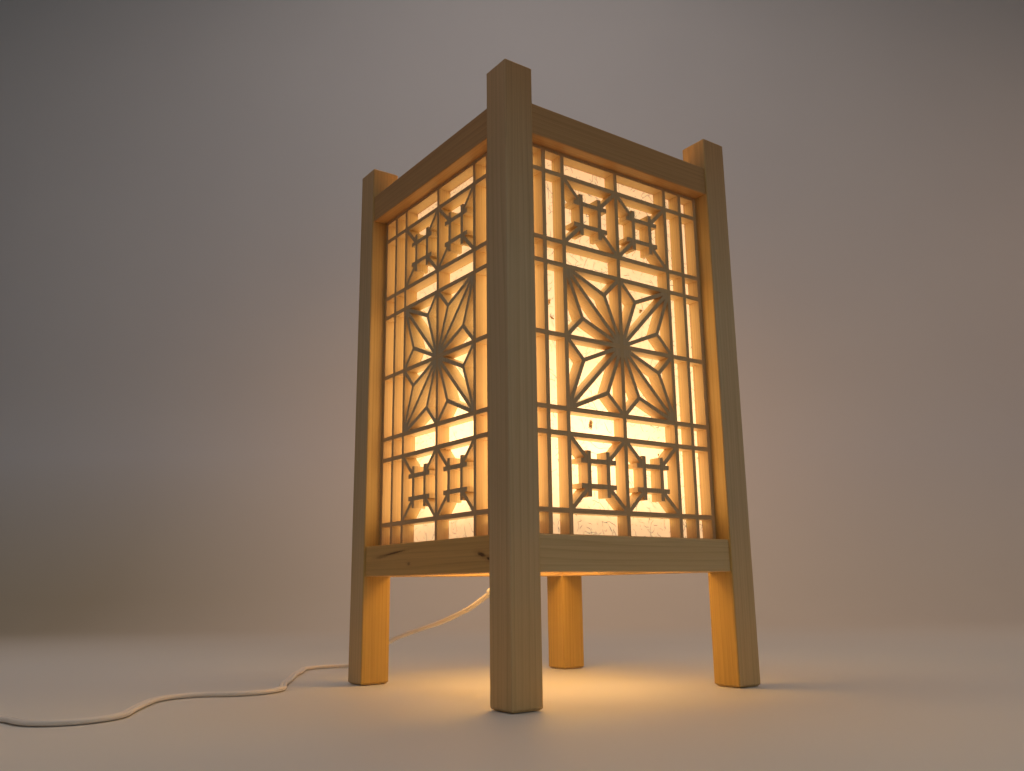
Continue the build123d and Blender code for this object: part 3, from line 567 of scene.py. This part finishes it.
paint("bulb_glass", glass_lit("bulb_frosted", (1.0, 0.50, 0.03), 13.2))
paint("bulb_stem", plastic("bulb_stem_glass", (0.85, 0.86, 0.86), 0.15))


# ------------------------------------------------------------------
# Cord: flat twin flex, lying flat up to the switch, on edge in its coil
# ------------------------------------------------------------------
ROUTE_LAMP = [
    (-16.9, 43.0, 60.5),
    (-22.0, 59.5, 50.4), (-25.6, 73.4, 45.2), (-27.7, 95.6, 38.9), (-35.0, 117.5, 33.1), (-44.2, 142.7, 25.3),
    (-39.3, 171.4, 16.8), (-32.0, 198.1, 8.0), (-40.8, 216.8, 1.4), (-56.5, 226.3, 1.4), (-73.1, 225.4, 1.4),
    (-86.0, 215.8, 1.4), (-93.1, 199.2, 1.4), (-110.1, 174.0, 1.4), (-127.5, 138.5, 1.4), (-145.5, 107.3, 1.4),
    (-151.7, 86.7, 1.4), (-167.6, 76.0, 1.4), (-186.2, 77.4, 1.4), (-206.4, 92.9, 1.4), (-231.6, 87.8, 1.4),
    (-247.2, 60.0, 1.4), (-255.7, 43.4, 1.4), (-267.1, 17.3, 1.4), (-291.1, 10.3, 1.4), (-311.9, 23.5, 1.4),
    (-316.0, 50.5, 1.4), (-336.4, 63.9, 2.0), (-360.5, 64.0, 4.0),
]
ROUTE_SWITCH = [(-422.5, 64.0, 4.0), (-436.5, 64.4, 3.3), (-451.5, 64.6, 3.5), (-466.0, 63.8, 3.4)]
ROUTE_PLUG = [(-471.0, -8.0, 8.8), (-457.0, -9.3, 9.0), (-441.0, -13.0, 8.2), (-424.0, -15.0, 6.5)]
COIL_C, COIL_Z = (-470.0, 26.0), 3.4
COIL_R0, COIL_R1 = 38.0, 22.4
CORD_W = 5.2


def coil_points():
    """Turns of the put-away length: three inward on the surface, then
    outward on top of them."""
    n = 14
    total = 5.5
    down, rise = 3.0, 0.4
    pts = []
    grow = 1.0 / math.cos(math.pi / n) ** 0.5
    steps = int(total * n)
    for k in range(1, steps):
        t = k / n
        if t <= down:
            r = COIL_R0 + (COIL_R1 - COIL_R0) * t / down
            z = COIL_Z
        elif t <= down + rise:
            r = COIL_R1
            z = COIL_Z + CORD_W * (t - down) / rise
        else:
            r = COIL_R1 + CORD_W * (t - down - rise)
            z = COIL_Z + CORD_W
        a = math.pi / 2 + 2 * math.pi * t
        pts.append((COIL_C[0] + grow * r * math.cos(a), COIL_C[1] + grow * r * math.sin(a), z))
    return pts


def flex_profile(lying):
    """Outline of the twin flex: two round cores side by side with a waist,
    lying flat or standing on edge."""
    r, sep, waist = 1.32, 1.28, 0.82
    pts = []
    n = 40
    for i in range(n):
        a = 2 * math.pi * i / n
        x, y = math.cos(a), math.sin(a)
        # union of two discs softened at the waist, long axis along Y
        best = 0.0
        for s in (-1, 1):
            c = s * sep
            disc = r * r - (c * x) ** 2
            if disc >= 0:
                best = max(best, c * y + math.sqrt(disc))
        d = max(best, waist)
        pts.append((d * y, d * x) if lying else (d * x, d * y))
    return pts


def flex_section(name, lying):
    cu = bpy.data.curves.new(name, "CURVE")
    cu.dimensions = "2D"
    sp = cu.splines.new("POLY")
    pp = flex_profile(lying)
    sp.points.add(len(pp) - 1)
    for p, (x, y) in zip(sp.points, pp):
        p.co = (x * MM, y * MM, 0, 1)
    sp.use_cyclic_u = True
    o = bpy.data.objects.new(name, cu)
    scene.collection.objects.link(o)
    o.hide_render = True
    o.hide_viewport = True
    return o


def flex(name, points, section):
    cu = bpy.data.curves.new(name, "CURVE")
    cu.dimensions = "3D"
    cu.twist_mode = "Z_UP"
    cu.resolution_u = 10
    s = cu.splines.new("NURBS")
    s.points.add(len(points) - 1)
    for p, co in zip(s.points, points):
        p.co = (co[0] * MM, co[1] * MM, co[2] * MM, 1.0)
    s.order_u = 3
    s.use_endpoint_u = True
    cu.bevel_mode = "OBJECT"
    cu.bevel_object = section
    cu.use_fill_caps = True
    o = new_object(name, cu)
    return o


def outline(cores, off, n=7):
    """The line drawn tight round these cores, given anticlockwise, at that distance from them."""
    pts = []
    for i, c in enumerate(cores):
        a, b = cores[i - 1], cores[(i + 1) % len(cores)]
        a0 = math.atan2(c[1] - a[1], c[0] - a[0]) - math.pi / 2
        a1 = math.atan2(b[1] - c[1], b[0] - c[0]) - math.pi / 2
        while a1 < a0:
            a1 += 2 * math.pi
        for j in range(n + 1):
            t = a0 + (a1 - a0) * j / n
            pts.append((c[0] + off * math.cos(t), c[1] + off * math.sin(t)))
    return pts


def twist_tie(name, side, cores, tail):
    """A flat strip drawn round the turns of the coil, its two ends twisted
    together on top. side is the way out along X, tail the way along Y."""
    wide, thick, near = 3.4, 0.55, 1.34
    bm = bmesh.new()

    def at(r, y, z):
        return Vector((COIL_C[0] + side * r, COIL_C[1] + y, z)) * MM

    def shell(loops, closed):
        rows = [[bm.verts.new(p) for p in loop] for loop in loops]
        pairs = list(zip(rows, rows[1:])) + ([(rows[-1], rows[0])] if closed else [])
        for a, b in pairs:
            for i in range(len(a)):
                k = (i + 1) % len(a)
                bm.faces.new((a[i], a[k], b[k], b[i]))
        if not closed:
            bm.faces.new(list(reversed(rows[0])))
            bm.faces.new(rows[-1])

    ins, outs = outline(cores, near), outline(cores, near + thick)
    h = wide / 2
    shell([[at(r, y, z) for r, z in ring] for y, ring in ((-h, outs), (h, outs), (h, ins), (-h, ins))], True)
    top = max(z for r, z in outs)
    mid = sum(r for r, z in cores if z > top - 4.5) / len([1 for r, z in cores if z > top - 4.5])
    z0 = top + 0.85
    rows = []
    for i in range(33):
        s = i / 32
        turn = 3.5 * 2 * math.pi * s
        loop = []
        for u, w in ((-0.95, -0.42), (0.95, -0.42), (0.95, 0.42), (-0.95, 0.42)):
            loop.append(at(mid + u * math.cos(turn) - w * math.sin(turn), tail * (-1.2 + 9.5 * s), z0 + 0.25 * s + u * math.sin(turn) + w * math.cos(turn)))
        rows.append(loop)
    shell(rows, False)
    for sg in (-1, 1):
        rows = []
        for i in range(9):
            s = i / 8
            r, y, z = mid + sg * (0.3 + 2.6 * s * s), tail * (7.9 + 5.2 * s), z0 + 0.25 + sg * 0.35 + 0.9 * s * s
            rows.append([at(r + u, y, z + w) for u, w in ((-0.9, -0.2), (0.9, -0.2), (0.9, 0.2), (-0.9, 0.2))])
        shell(rows, False)
    bmesh.ops.recalc_face_normals(bm, faces=bm.faces)
    me = bpy.data.meshes.new(name)
    bm.to_mesh(me)
    bm.free()
    o = new_object(name, me)
    bev = o.modifiers.new("edge", "BEVEL")
    bev.width, bev.segments, bev.limit_method, bev.angle_limit = 0.00012, 2, "ANGLE", math.radians(50)
    for p in me.polygons:
        p.use_smooth = True
    me.materials.append(tie_mat)
    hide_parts("coil_ties")
    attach(o, "lamp")
    return o


tie_mat = plastic("tie_vinyl", (0.76, 0.75, 0.71), 0.45)
# the places of the turns' cores where each tie goes round them: (distance from the coil's middle, height)
TIES = [twist_tie("coil_tie_inner", 1.0, [(23.7, 2.1), (34.1, 2.1), (34.1, 4.7), (29.4, 9.9), (24.0, 9.9)], 1.0),
        twist_tie("coil_tie_outer", -1.0, [(22.4, 5.4), (26.3, 2.1), (36.7, 2.1), (36.7, 4.7), (32.0, 9.9), (26.6, 9.9), (22.4, 7.9)], -1.0)]

cord_mat = plastic("cord_vinyl", (0.88, 0.80, 0.71), 0.40, spots=0.02)
lamp_flex = flex("cord_lamp_flex", ROUTE_LAMP, flex_section("flex_lying", True))
plug_flex = flex("cord_plug_flex", ROUTE_SWITCH + coil_points() + ROUTE_PLUG, flex_section("flex_on_edge", False))
for o in (lamp_flex, plug_flex):
    o.data.materials.append(cord_mat)
    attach(o, "lamp")
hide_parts("cord_lamp_side")
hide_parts("cord_switch_side", "cord_coil", "cord_plug_side")


# ------------------------------------------------------------------
# Studio: plain pale floor that sweeps up behind, soft light
# ------------------------------------------------------------------
def studio():
    bm = bmesh.new()
    rad, back, height, front, half = 0.55, 1.35, 2.4, -2.6, 3.2
    prof_pts = [(front, 0.0), (-1.2, 0.0), (-0.4, 0.0), (0.3, 0.0), (back - rad, 0.0)]
    for i in range(1, 17):
        a = math.radians(90 * i / 16)
        prof_pts.append((back - rad + rad * math.sin(a), rad - rad * math.cos(a)))
    prof_pts.append((back, height))
    # the sweep runs across the camera's line of sight
    d = Vector((-math.sin(YAW), math.cos(YAW), 0))
    s = Vector((math.cos(YAW), math.sin(YAW), 0))
    rows = []
    for t, z in prof_pts:
        rows.append([bm.verts.new(d * t + s * w + Vector((0, 0, z - 0.0004))) for w in (-half, 0.0, half)])
    for a, b in zip(rows, rows[1:]):
        for i in range(2):
            bm.faces.new((a[i], a[i + 1], b[i + 1], b[i]))
    me = bpy.data.meshes.new("studio_sweep")
    bm.to_mesh(me)
    bm.free()
    o = bpy.data.objects.new("studio_sweep", me)
    scene.collection.objects.link(o)
    for p in me.polygons:
        p.use_smooth = True
    M = Mat("studio_paper")
    v = M.coords()
    n = M.noise(v, 3.0, 2.0, 0.5)
    col = M.mix(n, (0.77, 0.73, 0.665), (0.71, 0.67, 0.62))
    # painted shade on the far part: a little darker, bluer up high, darkest and warmest low on its left
    place = M.add("ShaderNodeSeparateXYZ")
    M.link(M.coords(rot=(0, 0, -YAW)), place.inputs[0])
    right, ahead, high = place.outputs
    far = M.math("MULTIPLY", M.math("SUBTRACT", ahead, 0.20), 1.5, clamp=True)
    left = M.math("MULTIPLY", M.math("SUBTRACT", -0.30, right), 2.0, clamp=True)
    low = M.math("MULTIPLY", M.math("SUBTRACT", 0.36, high), 3.2, clamp=True)
    corner = M.math("MULTIPLY", M.math("MULTIPLY", left, low), far)
    col = M.mix(far, col, M.mix(1.0, col, M.mix(low, (0.835, 0.885, 1.0), (0.87, 0.86, 0.85)), "MULTIPLY"))
    col = M.mix(corner, col, M.mix(1.0, col, (0.72, 0.68, 0.58), "MULTIPLY"))
    M.link(col, M.bsdf.inputs["Base Color"])
    # a painted warm glow of the lamp's light on the far part, as emission
    dx = M.math("DIVIDE", M.math("SUBTRACT", right, 0.05), 0.62)
    dz = M.math("DIVIDE", M.math("SUBTRACT", high, 0.34), 0.45)
    hump = M.math("SUBTRACT", 0.0, M.math("ADD", M.math("MULTIPLY", dx, dx), M.math("MULTIPLY", dz, dz)))
    hump = M.math("MULTIPLY", M.math("POWER", math.e, hump), far)
    M.link(M.mix(hump, (0.0, 0.0, 0.0), (0.185, 0.090, 0.030)), M.bsdf.inputs["Emission Color"])
    M.bsdf.inputs["Emission Strength"].default_value = 1.0
    M.bsdf.inputs["Roughness"].default_value = 0.55
    M.bsdf.inputs["Specular IOR Level"].default_value = 0.25
    me.materials.append(M.mat)


studio()


def area(name, loc, target, size, power, color):
    li = bpy.data.lights.new(name, "AREA")
    li.shape = "DISK"
    li.size = size
    li.energy = power
    li.color = color
    o = bpy.data.objects.new(name, li)
    o.location = loc
    o.rotation_mode = "QUATERNION"
    o.rotation_quaternion = (Vector(target) - Vector(loc)).to_track_quat("-Z", "Y")
    scene.collection.objects.link(o)
    return o


def stage_point(right, ahead, up):
    """A point given from the middle of the floor, along and across the camera's heading."""
    return Vector((math.cos(YAW) * right - math.sin(YAW) * ahead, math.sin(YAW) * right + math.cos(YAW) * ahead, up))


area("soft_top", stage_point(0.0, 0.15, 1.9), stage_point(0.0, 0.2, 0), 1.6, 9.3, (1.0, 0.83, 0.74))
area("soft_back", stage_point(1.6, 0.4, 0.75), stage_point(0.8, 1.3, 0.15), 1.2, 2.2, (1.0, 0.60, 0.36))
area("soft_front", stage_point(0.8, -1.5, 0.9), stage_point(0.0, 0.0, 0.15), 1.3, 2.85, (0.80, 0.94, 1.0))
area("soft_left", stage_point(-1.5, -0.5, 1.1), stage_point(-0.1, 0.1, 0.15), 1.3, 1.85, (0.93, 0.82, 0.84))


def panel_glow(name, ang, depth, z, height, power, color):
    """The light that a lit sheet gives to the wood round it, from a plane at
    that depth from the middle of the lamp, facing outward."""
    li = bpy.data.lights.new(name, "AREA")
    li.shape = "RECTANGLE"
    li.size = 0.150
    li.size_y = height
    li.energy = power
    li.color = color
    o = bpy.data.objects.new(name, li)
    rot = Matrix.Rotation(ang, 4, "Z")
    o.matrix_world = rot @ Matrix.Translation((0, -depth, z)) @ Matrix.Rotation(math.radians(-90), 4, "X")
    o.visible_camera = False
    scene.collection.objects.link(o)
    return o


for k, side in enumerate(("front", "right", "rear", "left")):
    more = 1.20 if side == "left" else 1.0
    panel_glow("glow_" + side, math.radians(90.0 * k), 0.0793, 0.1835, 0.161, 0.085 * more, (1.0, 0.77, 0.27))
    panel_glow("glow_top_" + side, math.radians(90.0 * k), 0.0793, 0.3010, 0.074, 0.027 * more, (1.0, 0.72, 0.20))
    panel_glow("spill_" + side, math.radians(90.0 * k), 0.0886, 0.1900, 0.170, 0.050 if side == "left" else 0.065, (1.0, 0.46, 0.07))

# what the lit sheets and their frame send down through the open bottom
down = area("glow_down", Vector((0.0, 0.0, 0.0815)), Vector((0.0, 0.0, 0.0)), 0.13, 0.035, (1.0, 0.72, 0.24))
down.visible_camera = False

world = bpy.data.worlds.new("studio_world")
scene.world = world
world.use_nodes = True
bg = world.node_tree.nodes["Background"]
bg.inputs[0].default_value = (0.55, 0.85, 0.95, 1)
bg.inputs[1].default_value = 0.035

scene.view_settings.view_transform = "Standard"
scene.view_settings.look = "None"
